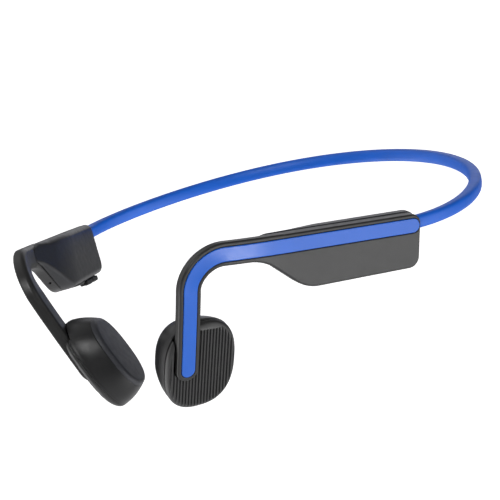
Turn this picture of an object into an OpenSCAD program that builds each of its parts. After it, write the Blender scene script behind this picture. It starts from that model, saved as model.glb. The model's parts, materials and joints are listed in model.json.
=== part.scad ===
// Open-ear bone conduction headphones: two ear-hook arms joined by a flexible neckband.
// Millimetres, worn attitude: +Z up, the wearer faces -Y, the wearer's left is +X.
// Arms are drawn in arm axes: u rearward, v up, w outward, with the strip along v = 0.
// Drivers are drawn in pad axes: x rearward, y up the stem, z out of the ribbed face.

/* [Stance] */
// Half the distance between the rear ends of the two pods
arm_x = 61.5; // [55:0.5:70]
// Angle by which each arm closes in towards the front
arm_yaw = 26; // [20:0.5:32]
// Angle by which the top of each arm leans outward
arm_lean = 10.6; // [6:0.5:14]
// Nose-up pitch of the arms against the neckband's plane
arm_pitch = 11; // [8:0.5:14]

/* [Ear hook] */
// Width of the ear hook seen from the side
hook_w = 6.2; // [5:0.1:6.5]
// Depth of the ear hook, outer face to inner face
hook_d = 3.3; // [3.2:0.1:4]
// Radius of the hook's corner, on its centre line
hook_r = 8.8; // [7:0.1:10]
// Distance from the pod's rear end to the corner's centre
corner_u = 56.3; // [54:0.5:60]
// Depth of the stem's end below the strip line
stem_v = 32.5; // [30:0.1:36]
// Forward-to-rear slant of the stem
stem_slant = 4.8; // [3:0.5:9]
// Inward lean of the stem below the corner
stem_in = 19.6; // [15:0.2:22]
// Length over which the inward lean builds up
stem_soft = 7; // [3:0.5:8]
// Inward bow of the hook in front of the pod, at its corner
hook_bow = 1; // [0:0.1:1.5]

/* [Inlay strip] */
// Width of the coloured inlay strip
strip_w = 3.8; // [2.8:0.1:4.2]
// Thickness of the inlay strip
strip_t = 0.5; // [0.4:0.05:0.7]

/* [Pod] */
// Height of the pod above the strip line
pod_up = 3; // [2.8:0.05:3.2]
// Depth of the pod below the strip line at its front
pod_down = 12.2; // [11.8:0.1:12.6]
// Distance from the pod's rear end to the foot of its ramp
pod_foot = 33.9; // [32.5:0.1:34.5]
// Depth of the outer pod half, down to the parting line
half_out = 3.2; // [3:0.1:3.4]
// Overall thickness of the pod
pod_t = 6.9; // [6.8:0.1:8.4]
// Wall thickness of the pod halves
wall = 1.2; // [1:0.1:1.3]

/* [Transducer] */
// Half of the transducer's width
pad_a = 10; // [9.6:0.1:10.5]
// Half of the transducer's height
pad_b = 13.5; // [13.2:0.1:14]
// Thickness of the transducer, ribbed face to skin
pad_t = 10.4; // [10.2:0.1:11]
// Rearward offset of the transducer from the stem
pad_x = 4.6; // [3.6:0.1:5]
// Drop of the transducer's centre below the stem's end
pad_drop = 0.9; // [0.5:0.1:1]
// Pitch of the ribs on the outer face
rib_pitch = 0.9; // [0.8:0.05:1]

/* [Neckband] */
// Distance from the pods' rear ends to the back of the neckband
band_y = 67.2; // [64:0.2:72]
// Reach of the neckband's curve behind each pod
band_reach = 27.5; // [24:0.5:32]
// Half-width of the neckband's flat back stretch
band_flat = 46.6; // [40:0.5:48]
// Rise of the neckband's back above the strip line
band_rise = 13.6; // [12:0.2:16]
// Size across the neckband's section
band_d = 3.6; // [3.3:0.1:3.8]

/* [Controls] */
// Travel of the multifunction button
mfb_travel = 0.4; // [0.2:0.05:0.4]
// Length of one volume button
vol_l = 5.2; // [4.6:0.1:5.4]

/* [Hidden] */
$fn = 32;
eps = 0.01;

// The model's origin is the centre of its box.
center_y = -5.66;
center_z = 9.46;

// Heights and depths inside the hook and the pod
gap = 0.05;
seal_t = 0.25;
pod_mid = [-18, -4.3];
bow_from = 41;
bow_span = 16;
channel_w = -2.1;
strand_u = 32;
wire_r = 0.38;
lead_r = 0.35;
band_w = -half_out;
core_r = 0.38;
core_x = 0.55;
socket = band_d + 0.5;
band_steps = 26;
band_lift = 2.3;
flex_step = 17;

// Transducer levels, measured down from the ribbed face
face_t = 2;
housing_top = face_t + mfb_travel + gap;
stem_seat = 2.8;
cavity_top = 3.7;
bracket_top = 7.9;
housing_end = 9;
cavity_c = [-0.8, -0.6];
cavity_a = 6.6;
cavity_b = 9.4;
pad_shift = [-1.3, -0.9];
switch_at = [4.2, 0.5];

// Controls along the underside of the right pod, measured along u and w
low_w = -4.65;
up_u = -8.6;
down_u = -14.6;
port_u = -25;
led_u = -18.4;
mic_w = -1.9;
port_l = 10.4;
port_w = 2.7;
port_seat = 0.9;
port_proud = 0.3;

// ---------- helper functions ----------
function unit(v) = v / norm(v);
function mix(a, b, t) = a + (b - a) * t;

// Arc that rounds the corner at p, between the neighbours a and b
function corner(a, p, b, r, n) =
  let (d = unit(a - p), e = unit(b - p), half = acos(d * e) / 2,
       c = p + unit(d + e) * r / sin(half),
       s = p + d * r / tan(half) - c, f = p + e * r / tan(half) - c,
       a0 = atan2(s[1], s[0]), a1 = atan2(f[1], f[0]),
       turn = a1 - a0 > 180 ? a1 - a0 - 360 : a1 - a0 < -180 ? a1 - a0 + 360 : a1 - a0)
  [for (i = [0:n]) c + r * [cos(a0 + turn * i / n), sin(a0 + turn * i / n)]];
function rounded(p, r, n = 5) =
  let (m = len(p))
  [for (i = [0:m - 1]) each corner(p[(i + m - 1) % m], p[i], p[(i + 1) % m], r[i], n)];

// Superellipse outline with half-axes a and b
function oval(a, b, power = 2.5, n = 32) =
  [for (i = [0:n - 1]) let (t = 360 * i / n, c = cos(t), s = sin(t))
    [a * sign(c) * pow(abs(c), 2 / power), b * sign(s) * pow(abs(s), 2 / power)]];

// One ring of a swept section: q[0] runs sideways, q[1] along the reference direction
function ring(path, i, section, ref) =
  let (t = unit(path[min(i + 1, len(path) - 1)] - path[max(i - 1, 0)]),
       n = unit(ref - (ref * t) * t), s = cross(n, t))
  [for (q = section) path[i] + q[0] * s + q[1] * n];

// Rings beyond the end of a path that round it off: side is -1 at the start, 1 at the end
function round_end(path, section, r, side, ref) =
  let (m = len(path), i = side > 0 ? m - 1 : 0, j = side > 0 ? m - 2 : 1,
       t = unit(path[i] - path[j]), n = unit(ref - (ref * t) * t), s = cross(n, t) * side)
  [for (a = side > 0 ? [30, 55, 75, 86] : [86, 75, 55, 30])
    [for (q = section) path[i] + r * sin(a) * t + q[0] * cos(a) * s + q[1] * n]];

function sweep_rings(path, section, ref) =
  [for (i = [0:len(path) - 1]) ring(path, i, section, ref)];

// ---------- design curves ----------
// Depth of the hook's line: the stem leans inward as it drops, and the top bows inward in front
function stem_w(v) = -tan(stem_in) * (sqrt(v * v + stem_soft * stem_soft) - stem_soft);
function bow_w(u) = -hook_bow * pow(max(0, (-u - bow_from) / bow_span), 2);
// Ear hook's line in arm axes, from u = -start to the end of the stem
function hook_uv(start) =
  let (sweep = 90 + stem_slant,
       foot = [-corner_u - hook_r * sin(sweep), -hook_r + hook_r * cos(sweep)],
       run = (stem_v + foot[1]) / cos(stem_slant))
  concat([for (i = [0:2]) [mix(-start, -bow_from, i / 2), 0]],
         [for (i = [1:5]) [mix(-bow_from, -corner_u, i / 5), 0]],
         [for (i = [1:9]) [-corner_u - hook_r * sin(sweep * i / 9),
                           -hook_r + hook_r * cos(sweep * i / 9)]],
         [for (i = [1:7]) foot + run * i / 7 * [sin(stem_slant), -cos(stem_slant)]]);
function hook_line(start, w = 0) =
  [for (p = hook_uv(start)) [p[0], p[1], stem_w(p[1]) + bow_w(p[0]) + w]];
function stem_end() = let (p = hook_line(2)) p[len(p) - 1];

// Left half of the neckband's line, from inside the pod's socket to the middle of the back
function exit_point() =
  let (out = [cos(arm_yaw), -sin(arm_yaw), 0])
  [arm_x, 0, 0] + band_w * (cos(arm_lean) * out - [0, 0, sin(arm_lean)]);
function band_point(t) =
  let (back = [sin(arm_yaw), cos(arm_yaw), 0], p0 = exit_point(),
       p1 = p0 + band_reach * back + [0, 0, band_lift],
       p2 = [band_flat, band_y, band_rise], p3 = [0, band_y, band_rise], s = 1 - t)
  s * s * s * p0 + 3 * s * s * t * p1 + 3 * s * t * t * p2 + t * t * t * p3;
function band_half() =
  concat([exit_point() - 1.6 * [sin(arm_yaw), cos(arm_yaw), 0]],
         [for (i = [0:band_steps]) band_point(i / band_steps)]);
function band_loop() =
  let (h = band_half(), m = len(h))
  concat(h, [for (i = [m - 2:-1:0]) [-h[i][0], h[i][1], h[i][2]]]);
band = band_loop();

// ---------- sections and outlines ----------
hook_half = hook_w / 2;
hook_section = [[-hook_half, -0.6], [-hook_half, -1.8], [-hook_half + 0.45, -2.75], [-1.6, -hook_d],
                [1.6, -hook_d], [hook_half - 0.45, -2.75], [hook_half, -1.8], [hook_half, -0.6],
                [hook_half - 0.65, 0], [0.65 - hook_half, 0]];
groove_section = [[-strip_w / 2 - 0.1, 0.5], [-strip_w / 2 - 0.1, -strip_t],
                  [strip_w / 2 + 0.1, -strip_t], [strip_w / 2 + 0.1, 0.5]];
strip_section = [[-strip_w / 2, 0.1], [-strip_w / 2, gap - strip_t],
                 [strip_w / 2, gap - strip_t], [strip_w / 2, 0.1]];
band_section = oval(band_d / 2, band_d / 2, 3, 16);
channel_section = oval(1.25, 0.72, 3, 8);

pod_outline = rounded([[-53, -3], [-46, -3], [-pod_foot, -pod_down], [-0.5, -11.4],
                       [0.3, pod_up], [-53, pod_up]], [0.2, 12, 11, 3, 2.6, 0.2]);
// Outlines of the inner half: at the parting line, and of its flat inner face
rim_outline = rounded([[-47.4, -1.8], [-45.2, -3.2], [-pod_foot, -pod_down], [-0.5, -11.4],
                       [0.3, pod_up + 0.2], [-45.4, 2.8], [-47.6, 1.8]], [0.8, 1.5, 9, 3, 2.6, 1, 0.8]);
face_outline = rounded([[-38.5, -4.2], [-38, -6.2], [-32, -10.8], [-1.6, -10.4],
                        [-1, 2.4], [-29, 2.3], [-32, 1.6]], [1, 1.5, 4, 2.5, 2.4, 2, 1.5]);
cavity_outline = rounded([[-35.5, -5.5], [-31, -pod_down + wall + 0.3], [-1.8, -10],
                          [-1.2, 1.9], [-33.5, 1.9]], [1.5, 2, 1.5, 1, 1.5]);

// ---------- placing ----------
module headset() { translate([0, center_y, center_z]) rotate([-arm_pitch, 0, 0]) children(); }
module left_arm() {
  headset() translate([arm_x, 0, 0]) rotate([0, arm_lean, -arm_yaw]) rotate([90, 0, 90]) children();
}
module right_arm() { mirror([1, 0, 0]) left_arm() children(); }
module pad_axes() {
  translate(stem_end()) rotate([0, 0, stem_slant]) rotate([stem_in, 0, 0])
    translate([pad_x, -pad_drop, -1]) children();
}
module left_pad() { left_arm() pad_axes() children(); }
module right_pad() { right_arm() pad_axes() children(); }

// Closed solid through a list of equal rings
module skin(rings) {
  m = len(rings[0]);
  k = len(rings);
  polyhedron(
    points = [for (r = rings) each r],
    faces = concat(
      [[for (i = [0:m - 1]) i]],
      [[for (i = [m - 1:-1:0]) (k - 1) * m + i]],
      [for (j = [0:k - 2], i = [0:m - 1])
        [j * m + i, (j + 1) * m + i, (j + 1) * m + (i + 1) % m, j * m + (i + 1) % m]]),
    convexity = 10);
}
module prism(outline, low, high) {
  translate([0, 0, low]) linear_extrude(high - low) polygon(outline);
}
module block(center, size) { translate(center) cube(size, center = true); }

// ---------- neckband ----------
module band_skin(from, to, section) {
  skin([for (i = [from:to]) ring(band, i, section, [0, 0, 1])]);
}
module band_tube(from, to) {
  difference() {
    band_skin(from, to, band_section);
    band_skin(from, to, channel_section);
  }
}
// Round strand in the neckband's channel: side is its sideways offset
module band_core(from, to, side) {
  band_skin(from, to, [for (q = oval(core_r, core_r, 2, 8)) q + [side, 0]]);
}
flex_end = len(band) - 1 - flex_step;
module neckband_center() { color("royalblue") headset() band_tube(flex_step, flex_end); }
module neckband_left() { color("royalblue") headset() band_tube(0, flex_step); }
module neckband_right() { mirror([1, 0, 0]) neckband_left(); }
module memory_wire_center() { color("silver") headset() band_core(flex_step, flex_end, core_x); }
module memory_wire_left() { color("silver") headset() band_core(0, flex_step, core_x); }
module memory_wire_right() { mirror([1, 0, 0]) memory_wire_left(); }
module link_cable_center() { color("black") headset() band_core(flex_step, flex_end, -core_x); }
module link_cable_left() { color("black") headset() band_core(0, flex_step, -core_x); }
module link_cable_right() { mirror([1, 0, 0]) link_cable_left(); }

// ---------- pods and ear hooks ----------
module arm_frame() {
  line = hook_line(40);
  strip = hook_line(2.2);
  difference() {
    union() {
      prism(pod_outline, -half_out, 0);
      skin(concat(sweep_rings(line, hook_section, [0, 0, 1]),
                  round_end(line, hook_section, hook_w / 2, 1, [0, 0, 1])));
    }
    skin(concat(round_end(strip, groove_section, strip_w / 2 + 0.1, -1, [0, 0, 1]),
                sweep_rings(strip, groove_section, [0, 0, 1]),
                round_end(strip, groove_section, strip_w / 2 + 0.1, 1, [0, 0, 1])));
    prism(cavity_outline, -half_out - 1, -wall);
    skin(sweep_rings(hook_line(strand_u, channel_w), channel_section, [0, 0, 1]));
    block([0, 0, band_w], [5, socket, socket]);
  }
}
// Inner half: its front ramps down to the hook, and its edges round over to the flat face
module arm_inner_cover() {
  levels = [[-pod_t, 1], [-pod_t + 0.9, 0.6], [-half_out - 0.5, 0.03], [-half_out - 0.03, 0]];
  difference() {
    skin([for (l = levels) [for (i = [0:len(rim_outline) - 1])
      let (q = mix(rim_outline[i], face_outline[i], l[1])) [q[0], q[1], l[0]]]]);
    skin(sweep_rings(hook_line(39.9), [for (p = hook_section) [p[0] * 1.05, p[1] - gap]], [0, 0, 1]));
    prism(cavity_outline, -pod_t + wall, 0);
    prism(seal_outline(1.06), -half_out - seal_t - 0.03, 0);
    block([0, 0, band_w], [5, socket, socket]);
  }
}
function seal_outline(k) = [for (p = cavity_outline) pod_mid + (p - pod_mid) * k];
// Gasket ring in the parting line between the pod halves
module arm_seal() {
  difference() {
    prism(seal_outline(1.05), -half_out - seal_t, -half_out - 0.03);
    prism(cavity_outline, -half_out - 1, 0);
    block([0, 0, band_w], [5, socket, socket]);
  }
}
module arm_inlay() {
  strip = hook_line(2.2);
  skin(concat(round_end(strip, strip_section, strip_w / 2, -1, [0, 0, 1]),
              sweep_rings(strip, strip_section, [0, 0, 1]),
              round_end(strip, strip_section, strip_w / 2, 1, [0, 0, 1])));
}
// Strand inside the hook's channel, offset sideways from the channel's middle
module hook_strand(side, r) {
  skin(sweep_rings(hook_line(strand_u, channel_w), [for (q = oval(r, r, 2, 8)) q + [side, 0]], [0, 0, 1]));
}

module left_frame() { color("dimgray") left_arm() arm_frame(); }
module left_inner_cover() { color("darkslategray") left_arm() arm_inner_cover(); }
module left_pod_seal() { color("black") left_arm() arm_seal(); }
module left_inlay() { color("cornflowerblue") left_arm() arm_inlay(); }
module left_hook_wire() { color("silver") left_arm() hook_strand(-0.5, wire_r); }
module left_driver_lead() { color("firebrick") left_arm() hook_strand(0.6, lead_r); }
module left_battery() { color("lightgray") left_arm() block([-15.5, -4.3, -3.6], [23, 10.6, 3.4]); }
module left_battery_board() { color("green") left_arm() block([-29.2, -4.3, -3.6], [2.6, 8.4, 0.8]); }
module left_battery_pad() { color("gray") left_arm() block([-15.5, -4.3, -5.5], [21, 9, 0.34]); }

// Sound port of the microphone, in the sloping front of the right pod
module right_frame() {
  color("dimgray") right_arm() difference() {
    arm_frame();
    translate([-37.5, -9.5, mic_w]) rotate([90, 0, -36]) cylinder(h = 6, r = 0.4, center = true);
  }
}
module right_pod_seal() { color("black") right_arm() arm_seal(); }
module right_inlay() { color("cornflowerblue") right_arm() arm_inlay(); }
module right_hook_wire() { color("silver") right_arm() hook_strand(-0.5, wire_r); }
module right_driver_lead() { color("firebrick") right_arm() hook_strand(0.6, lead_r); }

// Depth of the pod's underside at a distance along u
function under_v(u) = -11.4 - (pod_down - 11.4) * (-u - 0.5) / (pod_foot - 0.5);

module right_inner_cover() {
  color("darkslategray") right_arm() difference() {
    arm_inner_cover();
    for (u = [up_u, down_u]) block([u, under_v(u), low_w], [vol_l - 0.8, 5, 1.8]);
    block([port_u, under_v(port_u) + port_seat - 0.6, low_w],
          [port_l + 0.2, 1.8, port_w + 0.2]);
    block([port_u, under_v(port_u) + port_seat + 4.2, low_w], [9.1, 8.5, 3.3]);
    translate([led_u, under_v(led_u), low_w]) rotate([90, 0, 0]) cylinder(h = 4, r = 0.62, center = true);
  }
}

// ---------- right pod's electronics and controls ----------
module main_board() { color("green") right_arm() block([-16.5, -3.2, -2.5], [26, 8.8, 0.8]); }
module bluetooth_module() {
  color("silver") right_arm() block([-9, -2.6, -3.6], [9, 6.8, 1.3]);
}
module usb_receptacle() {
  color("silver") right_arm() translate([port_u, under_v(port_u) + port_seat + 0.7, low_w])
    rotate([-90, 0, 0]) difference() {
      linear_extrude(6.4) polygon(rounded([[-4.4, -1.55], [4.4, -1.55], [4.4, 1.55], [-4.4, 1.55]],
                                          [1.5, 1.5, 1.5, 1.5]));
      translate([0, 0, -eps]) linear_extrude(5.4)
        polygon(rounded([[-4.1, -1.25], [4.1, -1.25], [4.1, 1.25], [-4.1, 1.25]],
                        [1.2, 1.2, 1.2, 1.2]));
    }
}
module port_cover() {
  color("black") right_arm()
    block([port_u, under_v(port_u) + (port_seat - port_proud) / 2, low_w],
          [port_l, port_seat + port_proud, port_w]);
}
// Cap outside the pod, neck through its wall and a flange inside
module volume_button(u) {
  v = under_v(u);
  block([u, v - 0.8, low_w], [vol_l, 0.8, 2.6]);
  block([u, v + 0.6, low_w], [vol_l - 1.2, 2, 1.4]);
  block([u, v + 1.75, low_w], [vol_l, 0.3, 1.6]);
}
module volume_up() { color("black") right_arm() volume_button(up_u); }
module volume_down() { color("black") right_arm() volume_button(down_u); }
module volume_switches() {
  color("silver") right_arm() for (u = [up_u, down_u])
    block([u, under_v(u) + 2.9, low_w], [3, 1.2, 1.6]);
}
module microphone() { color("gold") right_arm() block([-32.2, -6.4, mic_w], [2, 2, 1]); }
module led_lens() {
  color("white") right_arm() translate([led_u, under_v(led_u) + 1, low_w])
    rotate([90, 0, 0]) cylinder(h = 1.6, r = 0.55, center = true);
}

// ---------- transducers ----------
// Outline factor of the transducer at a depth below its ribbed face
function pad_k(t) = lookup(t, [[0, 0.84], [0.7, 0.95], [2, 1], [4, 0.97],
                               [9.2, 0.8], [9.9, 0.75], [10.4, 0.66]]);
function pad_ring(t) =
  let (k = pad_k(t), shift = pad_shift * max(0, (t - 3) / (pad_t - 3)))
  [for (p = oval(pad_a * k, pad_b * k)) [p[0] + shift[0], p[1] + shift[1], -t]];
module pad_loft(depths) { skin([for (t = depths) pad_ring(t)]); }
module cavity_shape(a, b, low, high) {
  prism([for (p = oval(a, b)) p + cavity_c], low, high);
}
module stem_notch(gap, low) {
  width = hook_w + 2 * gap;
  translate([-pad_x - width / 2, pad_drop, low]) cube([width, 20, 20]);
  translate([-pad_x, pad_drop, low]) cylinder(h = 20, r = width / 2);
}
module driver_housing() {
  difference() {
    pad_loft([housing_end, 8, 6, 4, housing_top]);
    cavity_shape(cavity_a, cavity_b, -housing_end - 1, -cavity_top);
    stem_notch(0.12, -stem_seat);
  }
}
module contact_pad() { pad_loft([pad_t, 9.9, housing_end + 0.03]); }
module driver_bracket() {
  difference() {
    cavity_shape(cavity_a - 0.05, cavity_b - 0.05, -bracket_top - 0.8, -bracket_top);
    translate([cavity_c[0], cavity_c[1], -10]) cylinder(h = 5, r = 1.5);
  }
}
module driver_center() { translate([cavity_c[0], cavity_c[1], 0]) children(); }
module disc(low, high, r) { translate([0, 0, low]) cylinder(h = high - low, r = r); }
module driver_yoke() {
  driver_center() difference() {
    disc(-7.1, -4.1, 5.6);
    disc(-8, -4.9, 4.9);
  }
}
module driver_magnet() { driver_center() disc(-6.3, -4.9, 3.5); }
module pole_plate() { driver_center() disc(-6.9, -6.3, 3.6); }
module voice_coil() {
  driver_center() difference() {
    disc(-bracket_top, -5.6, 4.55);
    disc(-9, -5, 3.95);
  }
}
module leaf_spring() {
  driver_center() difference() {
    disc(-bracket_top, -bracket_top + 0.15, 6.2);
    disc(-9, -5, 5);
  }
}
// Outer plate with straight ribs along the stem, cut away around the stem
module ribbed_plate() {
  ribs = floor((pad_a - 1.4) / rib_pitch);
  difference() {
    pad_loft([face_t, 1.3, 0.7, 0.3, 0]);
    for (i = [-ribs:ribs])
      block([(i + 0.5) * rib_pitch, -1.2, 0], [0.4, 2 * pad_b * sqrt(1 - pow(i / (ribs + 2), 2)) - 6, 0.4]);
    stem_notch(0.3, -10);
  }
}

module left_driver_housing() {
  color("black") left_pad() difference() {
    driver_housing();
    translate([switch_at[0], switch_at[1], -3.35]) cylinder(h = 2, r = 2.2);
  }
}
module left_contact_pad() { color("slategray") left_pad() contact_pad(); }
module left_driver_bracket() { color("silver") left_pad() driver_bracket(); }
module left_driver_yoke() { color("gray") left_pad() driver_yoke(); }
module left_driver_magnet() { color("lightgray") left_pad() driver_magnet(); }
module left_pole_plate() { color("gray") left_pad() pole_plate(); }
module left_voice_coil() { color("peru") left_pad() voice_coil(); }
module left_leaf_spring() { color("silver") left_pad() leaf_spring(); }
module multifunction_button() { color("dimgray") left_pad() ribbed_plate(); }
module multifunction_switch() {
  color("silver") left_pad() translate([switch_at[0], switch_at[1], 0]) {
    disc(-3.3, -2.85, 2);
    disc(-2.85, -2.45, 1);
  }
}
module right_driver_housing() { color("black") right_pad() driver_housing(); }
module right_contact_pad() { color("slategray") right_pad() contact_pad(); }
module right_driver_bracket() { color("silver") right_pad() driver_bracket(); }
module right_driver_yoke() { color("gray") right_pad() driver_yoke(); }
module right_driver_magnet() { color("lightgray") right_pad() driver_magnet(); }
module right_pole_plate() { color("gray") right_pad() pole_plate(); }
module right_voice_coil() { color("peru") right_pad() voice_coil(); }
module right_leaf_spring() { color("silver") right_pad() leaf_spring(); }
module right_driver_cover() { color("dimgray") right_pad() ribbed_plate(); }

neckband_center();
neckband_left();
neckband_right();
memory_wire_center();
memory_wire_left();
memory_wire_right();
link_cable_center();
link_cable_left();
link_cable_right();
left_frame();
left_inner_cover();
left_pod_seal();
left_inlay();
left_hook_wire();
left_driver_lead();
left_battery();
left_battery_board();
left_battery_pad();
left_driver_housing();
left_contact_pad();
left_driver_bracket();
left_driver_yoke();
left_driver_magnet();
left_pole_plate();
left_voice_coil();
left_leaf_spring();
multifunction_button();
multifunction_switch();
right_frame();
right_inner_cover();
right_pod_seal();
right_inlay();
right_hook_wire();
right_driver_lead();
main_board();
bluetooth_module();
usb_receptacle();
port_cover();
volume_up();
volume_down();
volume_switches();
microphone();
led_lens();
right_driver_housing();
right_contact_pad();
right_driver_bracket();
right_driver_yoke();
right_driver_magnet();
right_pole_plate();
right_voice_coil();
right_leaf_spring();
right_driver_cover();
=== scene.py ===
"""Looks of open-ear bone conduction headphones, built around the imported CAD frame.

Shapes are drawn in millimetres in the CAD part's own axes: arm axes (u rearward, v up, w outward)
and pad axes (x rearward, y up the stem, z out of the ribbed face). Moulded pieces are distance
fields, negative inside, turned into quad meshes. The neckband and its strands are swept rings.
"""

import json
import math

import bpy
import numpy as np
from mathutils import Matrix, Vector


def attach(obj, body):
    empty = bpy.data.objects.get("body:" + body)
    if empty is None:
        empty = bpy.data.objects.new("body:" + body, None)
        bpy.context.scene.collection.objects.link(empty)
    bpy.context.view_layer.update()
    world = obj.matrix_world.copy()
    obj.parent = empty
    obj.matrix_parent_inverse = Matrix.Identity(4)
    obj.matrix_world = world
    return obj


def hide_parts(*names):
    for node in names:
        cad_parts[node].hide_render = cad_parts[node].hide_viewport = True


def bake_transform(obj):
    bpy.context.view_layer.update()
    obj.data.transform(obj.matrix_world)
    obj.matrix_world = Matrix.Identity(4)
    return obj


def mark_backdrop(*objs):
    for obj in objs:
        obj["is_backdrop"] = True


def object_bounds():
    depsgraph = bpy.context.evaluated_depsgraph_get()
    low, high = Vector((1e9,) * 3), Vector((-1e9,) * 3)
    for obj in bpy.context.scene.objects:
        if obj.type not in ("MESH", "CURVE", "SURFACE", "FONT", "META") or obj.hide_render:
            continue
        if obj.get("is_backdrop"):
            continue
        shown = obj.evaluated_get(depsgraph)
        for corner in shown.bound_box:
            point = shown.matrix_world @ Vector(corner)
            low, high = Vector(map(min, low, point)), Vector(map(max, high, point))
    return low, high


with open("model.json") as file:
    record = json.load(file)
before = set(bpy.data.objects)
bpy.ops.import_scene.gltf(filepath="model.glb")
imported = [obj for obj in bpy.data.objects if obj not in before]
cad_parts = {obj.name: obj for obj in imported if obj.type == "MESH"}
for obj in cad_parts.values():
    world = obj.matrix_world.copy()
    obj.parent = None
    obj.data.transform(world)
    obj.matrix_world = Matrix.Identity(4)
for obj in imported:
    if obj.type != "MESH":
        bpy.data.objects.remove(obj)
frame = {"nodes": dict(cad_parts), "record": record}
cad_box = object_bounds()

# ---------- driving dimensions, in mm and degrees, as in the CAD part ----------
# arms, seen from above and from the side
ARM_X = 61.5
ARM_YAW = 26
ARM_LEAN = 10.6
ARM_PITCH = 11
HEAD_ORIGIN = np.array([0, -5.66, 9.46])

# ear hook and its stem
HOOK_W = 6.2
HOOK_D = 3.3
HOOK_R = 8.8
CORNER_U = 56.3
STEM_V = 32.5
STEM_SLANT = 4.8
STEM_IN = 19.6
STEM_SOFT = 7
HOOK_BOW = 1
BOW_FROM = 41
BOW_SPAN = 16
INNER_EDGE_R = 1.3
HOOK_REAR = -40

# inlay strip
STRIP_W = 3.8
STRIP_T = 0.5
STRIP_START = -2.2
STRIP_PROUD = 0.1
GAP = 0.05

# pod: the curve under its front starts at CURVE, and its underside ends at REAR
POD_UP = 3
POD_DOWN = 12.2
POD_FOOT = 33.9
POD_T = 6.9
HALF_OUT = 3.2
WALL = 1.2
CURVE_U = -46
CURVE_V = -3
REAR_U = -0.5
REAR_V = -11.4
OUTER_EDGE_R = 0.55

# transducer, its ribs and the hollow inside its cup
PAD_A = 10
PAD_B = 13.5
PAD_T = 10.4
PAD_X = 4.6
PAD_DROP = 0.9
PAD_SHIFT = np.array([-1.3, -0.9])
FACE_T = 2
HOUSING_TOP_LEFT = 2.45
HOUSING_TOP_RIGHT = 2.03
HOUSING_END = 9
STEM_SEAT = 2.8
RIB_PITCH = 0.9
RIB_GROOVE = 0.44
RIB_DEPTH = 0.6
BROW_Y = 11.9
BROW_TILT = 0.12
CAVITY_TOP = 3.7
CAVITY_C = np.array([-0.8, -0.6])
CAVITY_A = 6.6
CAVITY_B = 9.4
SWITCH_AT = np.array([4.2, 0.5])
SWITCH_R = 2.2
SWITCH_DEPTH = 3.35

# neckband, and the two ends of a stretch along it
BAND_Y = 67.2
BAND_REACH = 27.5
BAND_FLAT = 46.6
BAND_RISE = 13.6
BAND_LIFT = 2.3
BAND_D = 3.6
SOCKET = BAND_D + 0.5
CORE_R = 0.38
CORE_X = 0.55
BEND_START = np.array([10, 65, 8])
BEND_END = np.array([62, 18, 5])

# controls under the right pod
LOW_W = -4.65
UP_U = -8.6
DOWN_U = -14.6
PORT_U = -25
LED_U = -18.4
MIC_AT = (-38.6, -9, -1.9)
MIC_R = 0.45
MIC_LINE_U = -46.5
MIC_LINE_V = -2.8
LED_R = 0.62
VOL_L = 5.2
VOL_W = 2.5
VOL_PROUD = 1.6
VOL_SEAT = 0.24
PORT_L = 10.4
PORT_W = 2.7
PORT_SEAT = 0.9
PORT_PROUD = 0.3

# metres in a millimetre, and mesh sizes
M = 0.001
STEP = 0.2
BUTTON_STEP = 0.08
PORT_STEP = 0.1

SIDES = ("left", "right")


# ---------- axes ----------
def turn(axis, degrees):
    return np.array(Matrix.Rotation(math.radians(degrees), 3, axis))


HEAD = turn("X", -ARM_PITCH)
ARM = HEAD @ turn("Z", -ARM_YAW) @ turn("Y", ARM_LEAN) @ turn("Z", 90) @ turn("X", 90)
ARM_ORIGIN = HEAD_ORIGIN + HEAD @ np.array([ARM_X, 0, 0])

SWEEP = math.radians(90 + STEM_SLANT)
SLANT = math.radians(STEM_SLANT)
FOOT = np.array([-CORNER_U - HOOK_R * math.sin(SWEEP), -HOOK_R + HOOK_R * math.cos(SWEEP)])
STEM_DIR = np.array([math.sin(SLANT), -math.cos(SLANT)])
STEM_RUN = (STEM_V + FOOT[1]) / math.cos(SLANT)


def line_depth(u, v):
    """Depth w of the hook's centre line at (u, v), and how it changes with u and with v."""
    root = np.sqrt(v * v + STEM_SOFT**2)
    reach = np.maximum(0, (-u - BOW_FROM) / BOW_SPAN)
    lean = math.tan(math.radians(STEM_IN))
    w = -lean * (root - STEM_SOFT) - HOOK_BOW * reach**2
    return w, 2 * HOOK_BOW * reach / BOW_SPAN, -lean * v / root


STEM_END_UV = FOOT + STEM_RUN * STEM_DIR
STEM_END = np.array([*STEM_END_UV, line_depth(*STEM_END_UV)[0]])
PAD = turn("Z", STEM_SLANT) @ turn("X", STEM_IN)
PAD_ORIGIN = STEM_END + PAD @ np.array([PAD_X, -PAD_DROP, -1])


def arm_place(points):
    return ARM_ORIGIN + points @ ARM.T


def pad_place(points):
    return arm_place(PAD_ORIGIN + points @ PAD.T)


# ---------- distance fields ----------
def join(a, b, r):
    """Union of two solids, with a fillet of radius r between them."""
    return np.maximum(r, np.minimum(a, b)) - np.hypot(np.maximum(r - a, 0), np.maximum(r - b, 0))


def both(a, b, r):
    """What two solids share, with the edge between them rounded to radius r."""
    return -join(-a, -b, r)


def cut(a, b, r=0.1):
    return both(a, -b, r)


def slab(side, depth, low, high, low_r, high_r):
    """Solid between two depths inside an outline, with its two rims rounded."""
    y = depth - (low + high) / 2
    r = np.where(y > 0, high_r, low_r)
    dx = side + r
    dy = np.abs(y) - (high - low) / 2 + r
    return np.hypot(np.maximum(dx, 0), np.maximum(dy, 0)) + np.minimum(np.maximum(dx, dy), 0) - r


def block(p, center, size, r=0.1):
    q = np.abs(p - np.array(center)) - np.array(size) / 2 + r
    return np.linalg.norm(np.maximum(q, 0), axis=1) + np.minimum(q.max(1), 0) - r


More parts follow.
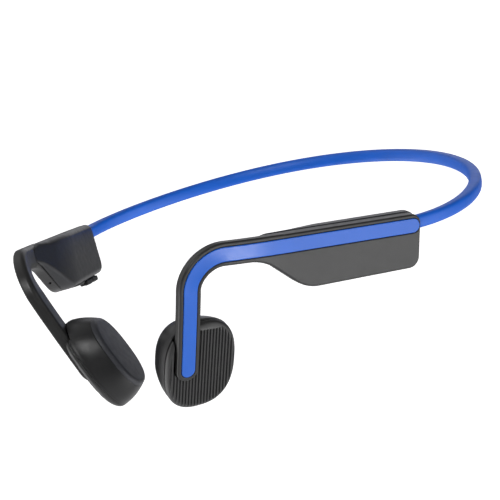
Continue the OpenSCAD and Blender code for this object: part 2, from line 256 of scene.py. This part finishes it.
def bore(p, center, direction, radius, length):
    """Cylinder with its middle at center."""
    d = np.array(direction) / np.linalg.norm(direction)
    q = p - np.array(center)
    along = q @ d
    across = np.linalg.norm(q - along[:, None] * d, axis=1)
    return np.maximum(across - radius, np.abs(along) - length / 2)


def corner(a, p, b, r, steps):
    """Arc of radius r that rounds the corner at p between its neighbours a and b."""
    d = (a - p) / np.linalg.norm(a - p)
    e = (b - p) / np.linalg.norm(b - p)
    half = math.acos(float(d @ e)) / 2
    middle = p + (d + e) / np.linalg.norm(d + e) * r / math.sin(half)
    s = p + d * r / math.tan(half) - middle
    f = p + e * r / math.tan(half) - middle
    start = math.atan2(s[1], s[0])
    sweep = (math.atan2(f[1], f[0]) - start + math.pi) % (2 * math.pi) - math.pi
    angles = start + sweep * np.arange(steps + 1) / steps
    return middle + r * np.stack([np.cos(angles), np.sin(angles)], 1)


def rounded(points, radii, steps=7):
    """Closed outline through points, with its corners rounded to the radii."""
    p = np.array(points, float)
    n = len(p)
    return np.concatenate([corner(p[i - 1], p[i], p[(i + 1) % n], radii[i], steps) for i in range(n)])


def outline_distance(u, v, outline):
    """Signed distance from a closed outline in the plane."""
    best = np.full(u.shape, np.inf)
    inside = np.zeros(u.shape, bool)
    for a, b in zip(outline, np.roll(outline, -1, axis=0)):
        e = b - a
        if e @ e < 1e-12:
            continue
        pu, pv = u - a[0], v - a[1]
        t = np.clip((pu * e[0] + pv * e[1]) / (e @ e), 0, 1)
        best = np.minimum(best, (pu - e[0] * t) ** 2 + (pv - e[1] * t) ** 2)
        crosses = (a[1] <= v) != (b[1] <= v)
        left = (e[0] * pv > e[1] * pu) == (e[1] > 0)
        inside ^= crosses & left
    return np.where(inside, -1, 1) * np.sqrt(best)


# ---------- fields in arm axes ----------
POD_OUTLINE = rounded(
    [[-54, -3.1], [CURVE_U, -3.1], [-POD_FOOT, -POD_DOWN], [REAR_U, REAR_V], [0.3, POD_UP], [-54, POD_UP]],
    [0.2, 12, 11, 3, 2.6, 0.2],
)
RIM_OUTLINE = rounded(
    [
        [-53, -0.8],
        [-45.5, -3.1],
        [-POD_FOOT, -POD_DOWN],
        [REAR_U, REAR_V],
        [0.3, POD_UP + 0.2],
        [-44, 3.1],
        [-53.5, 0.9],
    ],
    [1, 10, 10, 3, 2.6, 6, 1],
)
# ramp in front of the inner face, and bevel above its foot, which starts at CURVE and runs downward
RAMP_START = -50
RAMP_SLOPE = 0.17
RAMP_TWIST = 0.07
BEVEL_LOW = 4.9
BEVEL_SLOPE = 1.1
BEVEL_RUN = 12.1
BEVEL_FALL = 9.2
BEVEL_LENGTH = 15.2
CAVITY_OUTLINE = rounded(
    [[-35.5, -5.5], [-31, -POD_DOWN + WALL + 0.3], [-1.8, -10], [-1.2, 1.9], [-33.5, 1.9]],
    [1.5, 2, 1.5, 1, 1.5],
    4,
)


def hook_place(p):
    """Distance of points from the hook's line seen from the side, and depth from its outer face."""
    u, v, w = p.T
    top = np.stack([np.clip(u, -CORNER_U, STRIP_START), 0 * v])
    angle = np.clip(np.arctan2(-u - CORNER_U, v + HOOK_R), 0, SWEEP)
    arc = np.stack([-CORNER_U - HOOK_R * np.sin(angle), -HOOK_R + HOOK_R * np.cos(angle)])
    run = (u - FOOT[0]) * STEM_DIR[0] + (v - FOOT[1]) * STEM_DIR[1]
    stem = FOOT[:, None] + STEM_DIR[:, None] * np.clip(run, 0, STEM_RUN)
    far = FOOT[:, None] + STEM_DIR[:, None] * np.clip(run, 0, STEM_RUN + HOOK_W)
    tangents = (
        np.stack([0 * u - 1, 0 * u]),
        np.stack([-np.cos(angle), -np.sin(angle)]),
        np.repeat(STEM_DIR[:, None], len(u), 1),
    )
    near = [np.hypot(u - q[0], v - q[1]) for q in (top, arc, stem)]
    pick = np.argmin(near, 0)
    across = np.choose(pick, near)
    at = [np.choose(pick, [q[i] for q in (top, arc, far)]) for i in (0, 1)]
    along = [np.choose(pick, [q[i] for q in tangents]) for i in (0, 1)]
    level, slope_u, slope_v = line_depth(*at)
    slope = slope_u * along[0] + slope_v * along[1]
    return across, (w - level) / np.sqrt(1 + slope**2)


def shell_body(p, across, depth):
    """Ear hook and outer pod half as one solid, without its groove and hollows."""
    hook = slab(across - HOOK_W / 2, depth, -HOOK_D, 0, INNER_EDGE_R, OUTER_EDGE_R)
    hook = np.maximum(hook, p[:, 0] - HOOK_REAR)
    bowed = p[:, 2] - line_depth(p[:, 0], 0 * p[:, 0])[0]
    inner_r = 0.12 + 1.2 * np.clip((-44 - p[:, 0]) / 4, 0, 1)
    side = outline_distance(p[:, 0], p[:, 1], POD_OUTLINE)
    pod = slab(side, bowed, -HALF_OUT, 0, inner_r, OUTER_EDGE_R)
    return join(hook, pod, 0.05)


def strip_slab(across, depth, margin, low, high, r):
    return slab(across - STRIP_W / 2 - margin, depth, low, high, r, r)


def frame_field(p):
    across, depth = hook_place(p)
    body = shell_body(p, across, depth)
    body = cut(body, strip_slab(across, depth, 0.1, -STRIP_T, 3, 0.05), 0.12)
    cavity = outline_distance(p[:, 0], p[:, 1], CAVITY_OUTLINE)
    body = cut(body, np.maximum(cavity, p[:, 2] + WALL))
    return cut(body, block(p, [0, 0, -HALF_OUT], [5, SOCKET, SOCKET], 0.4), 0.3)


def right_frame_field(p):
    """Frame with the microphone's hole, square to the line from MIC_LINE to the pod's foot."""
    aim = [POD_DOWN + MIC_LINE_V, -POD_FOOT - MIC_LINE_U, 0]
    hole = bore(p, MIC_AT, aim, MIC_R, 8)
    return cut(frame_field(p), hole, 0.12)


def inlay_field(p):
    across, depth = hook_place(p)
    return strip_slab(across, depth, 0, GAP - STRIP_T, STRIP_PROUD, 0.14)


def cover_field(p):
    """Inner pod half: a flat face with a long ramp in front, a bevel above its foot and round edges."""
    u, v, w = p.T
    rise = RAMP_SLOPE * (u - RAMP_START) + RAMP_TWIST * (POD_UP - v)
    ramp = (-w - HOOK_D - rise) / math.hypot(1, RAMP_SLOPE)
    inward = (BEVEL_FALL * (u - CURVE_U) + BEVEL_RUN * (v - CURVE_V)) / BEVEL_LENGTH
    bevel = (-w - BEVEL_LOW - BEVEL_SLOPE * inward) / math.hypot(1, BEVEL_SLOPE)
    top = both(both(-w - POD_T, ramp, 1.2), bevel, 0.8)
    edge_r = np.clip(0.8 * rise, 0.1, 1.7)
    body = both(outline_distance(u, v, RIM_OUTLINE), top, edge_r)
    body = both(body, w + HALF_OUT + 0.015, 0.03)
    body = np.maximum(body, 0.01 - shell_body(p, *hook_place(p)))
    cavity = np.maximum(outline_distance(u, v, CAVITY_OUTLINE), body + WALL - 0.1)
    body = cut(body, np.maximum(cavity, -w - POD_T + WALL))
    body = cut(body, np.maximum(cavity - 0.5, -w - HALF_OUT - 0.28), 0.02)
    return cut(body, block(p, [0, 0, -HALF_OUT], [5, SOCKET, SOCKET], 0.4), 0.3)


def under_v(u):
    """Height of the pod's underside at a place along u."""
    return REAR_V - (POD_DOWN + REAR_V) * (REAR_U - u) / (POD_FOOT + REAR_U)


def right_cover_field(p):
    body = cover_field(p)
    for u in (UP_U, DOWN_U):
        body = cut(body, block(p, [u, under_v(u), LOW_W], [VOL_L - 0.8, 5, 1.8], 0.3))
        body = cut(body, block(p, [u, under_v(u), LOW_W], [VOL_L + 0.3, 0.7, 2.9], 0.3))
    port = under_v(PORT_U)
    seat = [PORT_L + 0.2, 1.8, PORT_W + 0.2]
    body = cut(body, block(p, [PORT_U, port + PORT_SEAT - 0.6, LOW_W], seat, 0.4))
    body = cut(body, block(p, [PORT_U, port + PORT_SEAT + 4.2, LOW_W], [9.1, 8.5, 3.3], 0.4))
    return cut(body, bore(p, [LED_U, under_v(LED_U), LOW_W], [0, 1, 0], LED_R, 4))


def button_field(u, mark):
    """Volume button: a crowned cap with a raised mark, a neck through the wall and a flange inside."""
    v = under_v(u)

    def field(p):
        q = p - np.array([u, v, LOW_W])
        crown = 0.12 * (q[:, 0] / (VOL_L / 2)) ** 2
        top = q + np.stack([0 * crown, -crown, 0 * crown], 1)
        middle = [0, -(VOL_PROUD + VOL_SEAT) / 2, 0]
        cap = block(top, middle, [VOL_L, VOL_PROUD - VOL_SEAT, VOL_W], 0.38)
        for size in mark:
            cap = join(cap, block(q, [0, -VOL_PROUD, 0], size, 0.06), 0.05)
        neck = block(q, [0, 0.6, 0], [VOL_L - 1.2, 2, 1.4], 0.15)
        flange = block(q, [0, 1.75, 0], [VOL_L, 0.3, 1.6], 0.1)
        return np.minimum(join(cap, neck, 0.1), flange)

    return field


PLUS = ([1.3, 0.2, 0.3], [0.3, 0.2, 1.3])
MINUS = ([1.3, 0.2, 0.3],)


def port_cover_field(p):
    """Rubber cover: a cap with a finger lip at its rear end, over a plug that fills the port."""
    q = p - np.array([PORT_U, under_v(PORT_U), LOW_W])
    crown = 0.15 * (q[:, 0] / (PORT_L / 2)) ** 2
    top = q + np.stack([0 * crown, -crown, 0 * crown], 1)
    cap = block(top, [0, (PORT_SEAT - PORT_PROUD) / 2, 0], [PORT_L, PORT_SEAT + PORT_PROUD, PORT_W], 0.3)
    lip = block(q, [PORT_L / 2 - 0.8, -0.3, 0], [0.9, 0.5, PORT_W - 0.6], 0.2)
    return join(cap, lip, 0.15)


# ---------- fields in pad axes ----------
def oval_k(t):
    """Size of the transducer's outline at a depth below its ribbed face."""
    front = 1 - 0.13 * np.clip(1 - t / 1.8, 0, 1) ** 2.2
    back = np.clip((t - 2.4) / 8, 0, 1)
    return front - 0.25 * back**1.6


def oval(p, k, a=PAD_A, b=PAD_B, power=2.5):
    """Radius-like distance from an oval of half-axes k times a and b."""
    radial = (np.abs(p[:, 0] / a) ** power + np.abs(p[:, 1] / b) ** power + 1e-12) ** (1 / power)
    return (radial - k) * a


def pad_side(p):
    t = -p[:, 2]
    shift = np.clip((t - 3) / (PAD_T - 3), 0, None)[:, None] * PAD_SHIFT
    return oval(p[:, :2] - shift, oval_k(t))


def stem_notch(p, gap):
    """The space that the stem takes: a slot that is open at the top, with a round lower end."""
    x = p[:, 0] + PAD_X
    y = np.minimum(p[:, 1] - PAD_DROP, 0)
    return np.hypot(x, y) - HOOK_W / 2 - gap


def housing_field(p, top=HOUSING_TOP_RIGHT):
    z = p[:, 2]
    body = slab(pad_side(p), z, -HOUSING_END, -top, 0.05, 0.1)
    chamber = oval(p[:, :2] - CAVITY_C, 1, CAVITY_A, CAVITY_B)
    body = cut(body, np.maximum(chamber, z + CAVITY_TOP))
    return cut(body, np.maximum(stem_notch(p, 0.12), -z - STEM_SEAT), 0.15)


def left_housing_field(p):
    q = np.hypot(p[:, 0] - SWITCH_AT[0], p[:, 1] - SWITCH_AT[1]) - SWITCH_R
    return cut(housing_field(p, HOUSING_TOP_LEFT), np.maximum(q, -p[:, 2] - SWITCH_DEPTH))


def contact_pad_field(p):
    """Soft skin pad: gently domed, with a full edge."""
    x, y = (p[:, :2] - PAD_SHIFT).T
    dome = 0.12 * ((x / 7) ** 2 + (y / 10) ** 2)
    return slab(pad_side(p), p[:, 2] - dome, -PAD_T, -HOUSING_END - 0.03, 0.55, 0.05)


def plate_field(p):
    """Ribbed outer plate: domed edges, a smooth brow on top and straight ribs that run out below."""
    x, y, z = p.T
    body = np.maximum(pad_side(p), slab(0 * x - 5, z, -FACE_T, 0, 0.05, 0.05))
    body = both(body, z, 0.4)
    wave = np.abs((x / RIB_PITCH) % 1 - 0.5) * RIB_PITCH
    groove = np.maximum(RIB_GROOVE / 2 - wave, -z - RIB_DEPTH)
    groove = both(groove, y + BROW_TILT * x - BROW_Y, 0.1)
    body = cut(body, groove, 0.07)
    return cut(body, stem_notch(p, 0.3), 0.08)


# ---------- meshes ----------
def grid_points(axes):
    return np.stack(np.meshgrid(*axes, indexing="ij"), -1).reshape(-1, 3)


def net(field, low, high, step, slack=1.3):
    """Quad mesh of a field's surface: one vertex in each cell that the surface crosses.

    Blocks of four cells each way are tried at their middles, and only the ones near the surface are
    worked out in full. A larger slack counts more blocks as near.
    """
    low = np.array(low, float)
    blocks = np.ceil((np.array(high) - low) / (4 * step)).astype(int)
    middles = [low[i] + step * (4 * np.arange(blocks[i]) + 1.5) for i in range(3)]
    coarse = field(grid_points(middles)).reshape(blocks)
    values = coarse.repeat(4, 0).repeat(4, 1).repeat(4, 2)
    near = np.argwhere(np.abs(coarse) < slack * 4.5 * step) * 4
    nodes = (near[:, None] + grid_points([range(4)] * 3)).reshape(-1, 3)
    values[tuple(nodes.T)] = field(low + step * nodes)
    solid = values < 0
    cells, places = [], []
    for axis in range(3):
        e = np.eye(3, dtype=int)
        first = np.take(solid, range(solid.shape[axis] - 1), axis)
        second = np.take(solid, range(1, solid.shape[axis]), axis)
        g = np.argwhere(first != second)
        a, b = values[tuple(g.T)], values[tuple((g + e[axis]).T)]
        crossing = g + (a / (a - b))[:, None] * e[axis]
        e1, e2 = e[(axis + 1) % 3], e[(axis + 2) % 3]
        ring = np.stack([g, g - e1, g - e1 - e2, g - e2], 1)
        outward = (a < 0)[:, None, None]
        cells.append(np.where(outward, ring, ring[:, ::-1]))
        places.append(np.repeat(crossing[:, None], 4, 1))
    cells = np.concatenate(cells)
    flat = np.ravel_multi_index(tuple(np.moveaxis(cells, -1, 0)), values.shape)
    used, faces = np.unique(flat, return_inverse=True)
    faces = faces.reshape(-1, 4)
    places = np.concatenate(places).reshape(-1, 3)
    share = np.bincount(faces.ravel(), minlength=len(used))
    points = np.stack([np.bincount(faces.ravel(), places[:, i], len(used)) / share for i in range(3)], 1)
    return settle(field, low + step * points, step), faces


def settle(field, points, step):
    """Moves points onto the surface along the field's slope."""
    h = 0.02
    for _ in range(2):
        value = field(points)
        slope = np.stack([(field(points + h * e) - value) / h for e in np.eye(3)], 1)
        move = -value / np.maximum((slope**2).sum(1), 0.2)
        points = points + np.clip(move, -step / 2, step / 2)[:, None] * slope
    return points


def add_piece(name, points, faces):
    """Object of a mesh given in mm in the row frame."""
    mesh = bpy.data.meshes.new(name)
    mesh.from_pydata((points * M).tolist(), [], faces.tolist() if hasattr(faces, "tolist") else faces)
    mesh.shade_smooth()
    piece = bpy.data.objects.new(name, mesh)
    bpy.context.scene.collection.objects.link(piece)
    return piece


def mirrored(points, faces, side):
    """A shape drawn for the left arm, on the side that is asked for."""
    if side == "left":
        return points, faces
    return points * np.array([-1, 1, 1]), faces[:, ::-1]


def dress(piece, body, slot, *nodes):
    if body:
        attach(piece, body)
    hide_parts(*nodes)
    piece.data.materials.clear()
    piece.data.materials.append(MATERIALS[slot])
    return piece


# ---------- materials ----------
class Nodes:
    """Short-hand for building a node material."""

    def __init__(self, name):
        self.material = bpy.data.materials.new(name)
        self.material.use_nodes = True
        self.tree = self.material.node_tree
        self.shader = self.tree.nodes["Principled BSDF"]
        self.coordinates = self.tree.nodes.new("ShaderNodeTexCoord").outputs["Object"]

    def noise(self, size_mm, detail=2, stretch=(1, 1, 1)):
        mapping = self.tree.nodes.new("ShaderNodeMapping")
        mapping.inputs["Scale"].default_value = stretch
        self.tree.links.new(self.coordinates, mapping.inputs["Vector"])
        noise = self.tree.nodes.new("ShaderNodeTexNoise")
        noise.inputs["Scale"].default_value = 1 / (size_mm * M)
        noise.inputs["Detail"].default_value = detail
        self.tree.links.new(mapping.outputs["Vector"], noise.inputs["Vector"])
        return noise.outputs["Fac"]

    def spread(self, value, low, high):
        """Maps a noise's middle range onto low..high."""
        node = self.tree.nodes.new("ShaderNodeMapRange")
        for name, number in (("From Min", 0.3), ("From Max", 0.7), ("To Min", low), ("To Max", high)):
            node.inputs[name].default_value = number
        self.tree.links.new(value, node.inputs["Value"])
        return node.outputs["Result"]

    def colour(self, value, first, second):
        node = self.tree.nodes.new("ShaderNodeMix")
        node.data_type = "RGBA"
        node.inputs["A"].default_value = (*first, 1)
        node.inputs["B"].default_value = (*second, 1)
        self.tree.links.new(value, node.inputs["Factor"])
        return node.outputs["Result"]

    def bump(self, value, depth_mm, strength=1):
        node = self.tree.nodes.new("ShaderNodeBump")
        node.inputs["Distance"].default_value = depth_mm * M
        node.inputs["Strength"].default_value = strength
        self.tree.links.new(value, node.inputs["Height"])
        return node.outputs["Normal"]

    def feed(self, name, value):
        if isinstance(value, bpy.types.NodeSocket):
            self.tree.links.new(value, self.shader.inputs[name])
        else:
            self.shader.inputs[name].default_value = value


def moulded(name, colour, rough, grain_mm, grain_depth, shade=0.08, **more):
    """Moulded plastic or rubber: fine grain, cloudy gloss and a slight drift in colour."""
    n = Nodes(name)
    cloud = n.noise(9, 3)
    light = tuple(c * (1 + shade) for c in colour)
    dark = tuple(c * (1 - shade) for c in colour)
    n.feed("Base Color", n.colour(n.spread(cloud, 0, 1), dark, light))
    n.feed("Roughness", n.spread(n.noise(1.6, 4), rough - 0.05, rough + 0.05))
    n.feed("Normal", n.bump(n.noise(grain_mm, 3), grain_depth))
    for key, value in more.items():
        n.feed(key.replace("_", " "), value)
    return n.material


def metal(name, colour, rough, stretch=(1, 1, 1)):
    """Drawn or stamped metal: fine scratches along one direction."""
    n = Nodes(name)
    scratch = n.noise(0.25, 3, stretch)
    n.feed("Base Color", n.colour(n.spread(scratch, 0, 1), tuple(c * 0.85 for c in colour), colour))
    n.feed("Roughness", n.spread(scratch, rough - 0.08, rough + 0.1))
    n.feed("Metallic", 1.0)
    n.feed("Normal", n.bump(scratch, 0.01))
    return n.material


MATERIALS = {
    "neckband_silicone": moulded("neckband_silicone", (0.003, 0.14, 0.76), 0.42, 0.15, 0.006, 0.05),
    "frame_plastic": moulded("frame_plastic", (0.025, 0.025, 0.025), 0.34, 0.12, 0.004),
    # inner pod halves: dark grey plastic; the faint blue tint in this colour is a painted reflection of
    # bluish light from behind
    "cover_plastic": moulded("cover_plastic", (0.02, 0.022, 0.027), 0.34, 0.12, 0.004),
    "housing_plastic": moulded("housing_plastic", (0.016, 0.016, 0.017), 0.34, 0.12, 0.003),
    "ribbed_plastic": moulded("ribbed_plastic", (0.04, 0.04, 0.04), 0.34, 0.12, 0.004),
    "blue_inlay": moulded("blue_inlay", (0.012, 0.14, 0.7), 0.2, 0.3, 0.0003, 0.04),
    # skin pads: grey silicone; the faint blue tint in this colour is a painted reflection of bluish light
    # from behind
    "pad_silicone": moulded("pad_silicone", (0.044, 0.046, 0.055), 0.42, 0.15, 0.005),
    "seal_rubber": moulded("seal_rubber", (0.018, 0.019, 0.021), 0.5, 0.2, 0.008),
    "button_rubber": moulded("button_rubber", (0.012, 0.012, 0.013), 0.5, 0.15, 0.008),
    "cable_sheath": moulded("cable_sheath", (0.02, 0.012, 0.012), 0.45, 0.2, 0.006),
    "circuit_board": moulded("circuit_board", (0.004, 0.06, 0.02), 0.35, 0.6, 0.01, 0.3),
    "foam": moulded("foam", (0.06, 0.06, 0.065), 0.9, 0.5, 0.08, 0.3),
    "clear_lens": moulded("clear_lens", (0.8, 0.82, 0.85), 0.3, 0.3, 0.004, 0.04, Transmission_Weight=0.6),
    "spring_metal": metal("spring_metal", (0.6, 0.6, 0.62), 0.3, (0.1, 1, 1)),
    "stamped_steel": metal("stamped_steel", (0.5, 0.5, 0.52), 0.35),
    "switch_metal": metal("switch_metal", (0.75, 0.74, 0.7), 0.28),
    "magnet": metal("magnet", (0.65, 0.65, 0.68), 0.2),
    "copper_wire": metal("copper_wire", (0.85, 0.42, 0.25), 0.3, (1, 1, 0.1)),
    "cell_foil": metal("cell_foil", (0.8, 0.8, 0.83), 0.4),
}
for part in frame["record"]["subparts"]:
    mesh = frame["nodes"][part["node"]].data
    mesh.materials.clear()
    mesh.materials.append(MATERIALS[part["material_slot"]])


# ---------- arms ----------
def build_arms():
    arm_low, arm_high = [-69.5, -37, -16], [1.5, 4, 1.2]
    cover_box = [-55.5, -13.2, -7.6], [1.3, 4, -2.8]
    pad_box = [-11, -14.5, -9.6], [11, 14.5, -1.8]
    skin_box = [-10, -13, -11], [8, 12, -8.7]
    plate_box = [-11, -14.5, -2.3], [11, 14.5, 0.4]
    inlay = net(inlay_field, arm_low, arm_high, 0.75 * STEP)
    frames = {"left": net(frame_field, arm_low, arm_high, STEP)}
    frames["right"] = net(right_frame_field, arm_low, arm_high, STEP)
    covers = {"left": net(cover_field, *cover_box, STEP), "right": net(right_cover_field, *cover_box, STEP)}
    housings = {"left": net(left_housing_field, *pad_box, STEP), "right": net(housing_field, *pad_box, STEP)}
    skin = net(contact_pad_field, *skin_box, STEP)
    plate = net(plate_field, *plate_box, 0.5 * STEP, 2.2)
    plates = {"left": "multifunction_button", "right": "right_driver_cover"}
    for side in SIDES:
        body = side + "_arm"
        jobs = (
            ("frame", frames[side], arm_place, "frame_plastic"),
            ("inner_cover", covers[side], arm_place, "cover_plastic"),
            ("inlay", inlay, arm_place, "blue_inlay"),
            ("driver_housing", housings[side], pad_place, "housing_plastic"),
            ("contact_pad", skin, pad_place, "pad_silicone"),
        )
        for word, (points, faces), place, slot in jobs:
            piece = add_piece(f"{side}_{word}_shell", *mirrored(place(points), faces, side))
            dress(piece, body, slot, f"{side}_{word}")
        node = plates[side]
        piece = add_piece(node + "_ribbed", *mirrored(pad_place(plate[0]), plate[1], side))
        dress(piece, node if side == "left" else body, "ribbed_plastic", node)


def build_controls():
    for name, u, mark in (("volume_up", UP_U, PLUS), ("volume_down", DOWN_U, MINUS)):
        low = [u - 3, under_v(u) - 2.1, LOW_W - 1.7]
        high = [u + 3, under_v(u) + 2.3, LOW_W + 1.7]
        points, faces = net(button_field(u, mark), low, high, BUTTON_STEP)
        piece = add_piece(name + "_cap", *mirrored(arm_place(points), faces, "right"))
        dress(piece, name, "button_rubber", name)
    v = under_v(PORT_U)
    box = [PORT_U - 5.8, v - 1.6, LOW_W - 1.8], [PORT_U + 5.8, v + 1.3, LOW_W + 1.8]
    points, faces = net(port_cover_field, *box, PORT_STEP)
    piece = add_piece("port_cover_flap", *mirrored(arm_place(points), faces, "right"))
    dress(piece, "port_cover", "seal_rubber", "port_cover")


# ---------- neckband ----------
def band_half():
    """Left half of the neckband's line in the row frame, from inside the pod to the back's middle."""
    yaw, lean = math.radians(ARM_YAW), math.radians(ARM_LEAN)
    out = np.array([math.cos(yaw), -math.sin(yaw), 0])
    back = np.array([math.sin(yaw), math.cos(yaw), 0])
    p0 = np.array([ARM_X, 0, 0]) - HALF_OUT * (math.cos(lean) * out - np.array([0, 0, math.sin(lean)]))
    p1 = p0 + BAND_REACH * back + np.array([0, 0, BAND_LIFT])
    p2 = np.array([BAND_FLAT, BAND_Y, BAND_RISE])
    p3 = np.array([0, BAND_Y, BAND_RISE])
    t = np.append(np.linspace(0, 0.9997, 90), 1)[:, None]
    s = 1 - t
    curve = s**3 * p0 + 3 * s * s * t * p1 + 3 * s * t * t * p2 + t**3 * p3
    line = np.concatenate([[p0 - 1.6 * back], curve])
    return HEAD_ORIGIN + line @ HEAD.T


def sweep(line, section, offset=0):
    """Closed tube along a line, its section upright; offset moves it sideways."""
    tangent = np.gradient(line, axis=0)
    tangent[-1] = [-1, 0, 0]
    tangent /= np.linalg.norm(tangent, axis=1)[:, None]
    upright = HEAD @ np.array([0, 0, 1])
    n = upright - (tangent @ upright)[:, None] * tangent
    n /= np.linalg.norm(n, axis=1)[:, None]
    s = np.cross(n, tangent)
    across = (section[:, 0] + offset)[:, None] * s[:, None]
    rings = line[:, None] + across + section[:, 1][:, None] * n[:, None]
    rows, m = rings.shape[:2]
    i, j = np.meshgrid(np.arange(rows - 1), np.arange(m), indexing="ij")
    k = (j + 1) % m
    quads = np.stack([i * m + j, (i + 1) * m + j, (i + 1) * m + k, i * m + k], -1).reshape(-1, 4)
    caps = [list(range(m)), list(range((rows - 1) * m, rows * m))[::-1]]
    return rings.reshape(-1, 3), quads.tolist() + caps


def section_oval(a, b, power, count):
    t = np.linspace(0, 2 * math.pi, count, endpoint=False)
    c, s = np.cos(t), np.sin(t)
    x = a * np.sign(c) * np.abs(c) ** (2 / power)
    y = b * np.sign(s) * np.abs(s) ** (2 / power)
    return np.stack([x, y], 1)


def build_neckband():
    half = BAND_D / 2
    strands = (
        ("neckband", section_oval(half, half, 3.2, 40), 0, "neckband_silicone"),
        ("memory_wire", section_oval(CORE_R, CORE_R, 2, 16), CORE_X, "spring_metal"),
        ("link_cable", section_oval(CORE_R, CORE_R, 2, 16), -CORE_X, "cable_sheath"),
    )
    line = band_half()
    for side in SIDES:
        flip = np.array([1 if side == "left" else -1, 1, 1])
        for word, section, offset, slot in strands:
            points, faces = sweep(line, section, offset)
            if side == "right":
                faces = [f[::-1] for f in faces]
            piece = add_piece(f"{word}_{side}_half", points * flip, faces)
            for cap in (-1, -2):
                piece.data.polygons[cap].use_smooth = False
            start, end = BEND_START * M * flip, BEND_END * M * flip
            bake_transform(piece)
            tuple(start)
            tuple(end)
            nodes = [f"{word}_{side}"] + ([f"{word}_center"] if side == "left" else [])
            dress(piece, None, slot, *nodes)


# ---------- camera, light and floor ----------
CAMERA_AT = Vector((0.42, -0.5091, 0.1677))
CAMERA_AZIMUTH = 39.623
CAMERA_ELEVATION = 14.047
CAMERA_ROLL = 13.46
CAMERA_LENS = 175.2


def towards(azimuth, elevation):
    """Direction from the object: azimuth from the front towards the wearer's left, in degrees."""
    a, e = math.radians(azimuth), math.radians(elevation)
    return Vector((math.sin(a) * math.cos(e), -math.cos(a) * math.cos(e), math.sin(e)))


def look(at, back, roll):
    """Matrix of a camera at a point, with a direction behind it and a roll in degrees."""
    side = Vector((0, 0, 1)).cross(back).normalized()
    up = Matrix.Rotation(math.radians(roll), 3, -back) @ back.cross(side)
    return Matrix.Translation(at) @ Matrix((up.cross(back), up, back)).transposed().to_4x4()


def build_camera():
    camera = bpy.data.objects.new("camera", bpy.data.cameras.new("camera"))
    camera.data.lens = CAMERA_LENS
    camera.data.sensor_width = 36
    camera.data.clip_start = 0.01
    camera.matrix_world = look(CAMERA_AT, towards(CAMERA_AZIMUTH, CAMERA_ELEVATION), CAMERA_ROLL)
    bpy.context.scene.collection.objects.link(camera)
    bpy.context.scene.camera = camera


def glow(tree, azimuth, elevation, core, edge, colour):
    """Soft patch of light on the world: full inside core degrees, none beyond edge degrees."""
    coordinates = tree.nodes.new("ShaderNodeTexCoord")
    dot = tree.nodes.new("ShaderNodeVectorMath")
    dot.operation = "DOT_PRODUCT"
    dot.inputs[1].default_value = towards(azimuth, elevation)
    tree.links.new(coordinates.outputs["Generated"], dot.inputs[0])
    fade = tree.nodes.new("ShaderNodeMapRange")
    fade.interpolation_type = "SMOOTHSTEP"
    fade.inputs["From Min"].default_value = math.cos(math.radians(edge))
    fade.inputs["From Max"].default_value = math.cos(math.radians(core))
    tree.links.new(dot.outputs["Value"], fade.inputs["Value"])
    tint = tree.nodes.new("ShaderNodeVectorMath")
    tint.operation = "SCALE"
    tint.inputs[0].default_value = colour
    tree.links.new(fade.outputs["Result"], tint.inputs["Scale"])
    return tint.outputs["Vector"]


# soft patches of light: azimuth, elevation, core, edge and colour
GLOWS = (
    (0, -90, 40, 98, (0.75, 0.75, 0.76)),
    (98, -15, 8, 45, (1.8, 1.8, 1.8)),
    (76, -22, 2, 7, (6.5, 6.5, 6.5)),
    (14, 30, 6, 18, (5.5, 5.5, 5.5)),
    (-60, -22, 8, 34, (1.5, 1.5, 1.5)),
    (-80, 35, 10, 55, (0.6, 0.6, 0.6)),
    (-156, 12, 7, 27, (0.75, 0.75, 0.79)),
    (0, 90, 20, 60, (0.22, 0.22, 0.22)),
)
AMBIENT = 0.05

# floor, and the wall of the backdrop, in m
FLOOR_Z = -0.3
FLOOR_HALF = 12
WALL_R = 6
WALL_SIDES = 48


def build_world():
    world = bpy.data.worlds.new("studio")
    world.use_nodes = True
    tree = world.node_tree
    total = None
    for patch in GLOWS:
        lit = glow(tree, *patch)
        if total is not None:
            add = tree.nodes.new("ShaderNodeVectorMath")
            tree.links.new(total, add.inputs[0])
            tree.links.new(lit, add.inputs[1])
            lit = add.outputs["Vector"]
        total = lit
    add = tree.nodes.new("ShaderNodeVectorMath")
    add.inputs[1].default_value = (AMBIENT, AMBIENT, AMBIENT)
    tree.links.new(total, add.inputs[0])
    tree.links.new(add.outputs["Vector"], tree.nodes["Background"].inputs["Color"])
    bpy.context.scene.world = world
    bpy.context.scene.view_settings.view_transform = "Standard"


def stage_piece(name, points, faces, paint):
    """White surface around the object, which the object neither mirrors nor takes light from."""
    mesh = bpy.data.meshes.new(name)
    mesh.from_pydata(points, [], faces)
    mesh.materials.append(paint)
    piece = bpy.data.objects.new(name, mesh)
    piece.visible_glossy = False
    piece.visible_diffuse = False
    bpy.context.scene.collection.objects.link(piece)
    return piece


def build_stage():
    n = Nodes("floor_paint")
    n.feed("Base Color", n.colour(n.spread(n.noise(400, 2), 0, 1), (0.93, 0.93, 0.93), (0.96, 0.96, 0.96)))
    n.feed("Roughness", 0.9)
    n.feed("Emission Color", (1, 1, 1, 1))
    n.feed("Emission Strength", 0.8)
    corners = [(x * FLOOR_HALF, y * FLOOR_HALF, FLOOR_Z) for x, y in ((-1, -1), (1, -1), (1, 1), (-1, 1))]
    floor = stage_piece("floor", corners, [(0, 1, 2, 3)], n.material)
    angles = [2 * math.pi * i / WALL_SIDES for i in range(WALL_SIDES)]
    points = [(WALL_R * math.cos(a), WALL_R * math.sin(a), z) for z in (FLOOR_Z, WALL_R) for a in angles]
    pairs = [(i, (i + 1) % WALL_SIDES) for i in range(WALL_SIDES)]
    faces = [(a, b, b + WALL_SIDES, a + WALL_SIDES) for a, b in pairs]
    wall = stage_piece("backdrop", points, faces, n.material)
    wall.visible_shadow = False
    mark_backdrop(floor, wall)


build_camera()
build_world()
build_stage()
build_arms()
build_controls()
build_neckband()

boxes = {"cad": cad_box, "visual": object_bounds()}
{k: [list(corner) for corner in b] for k, b in boxes.items()}
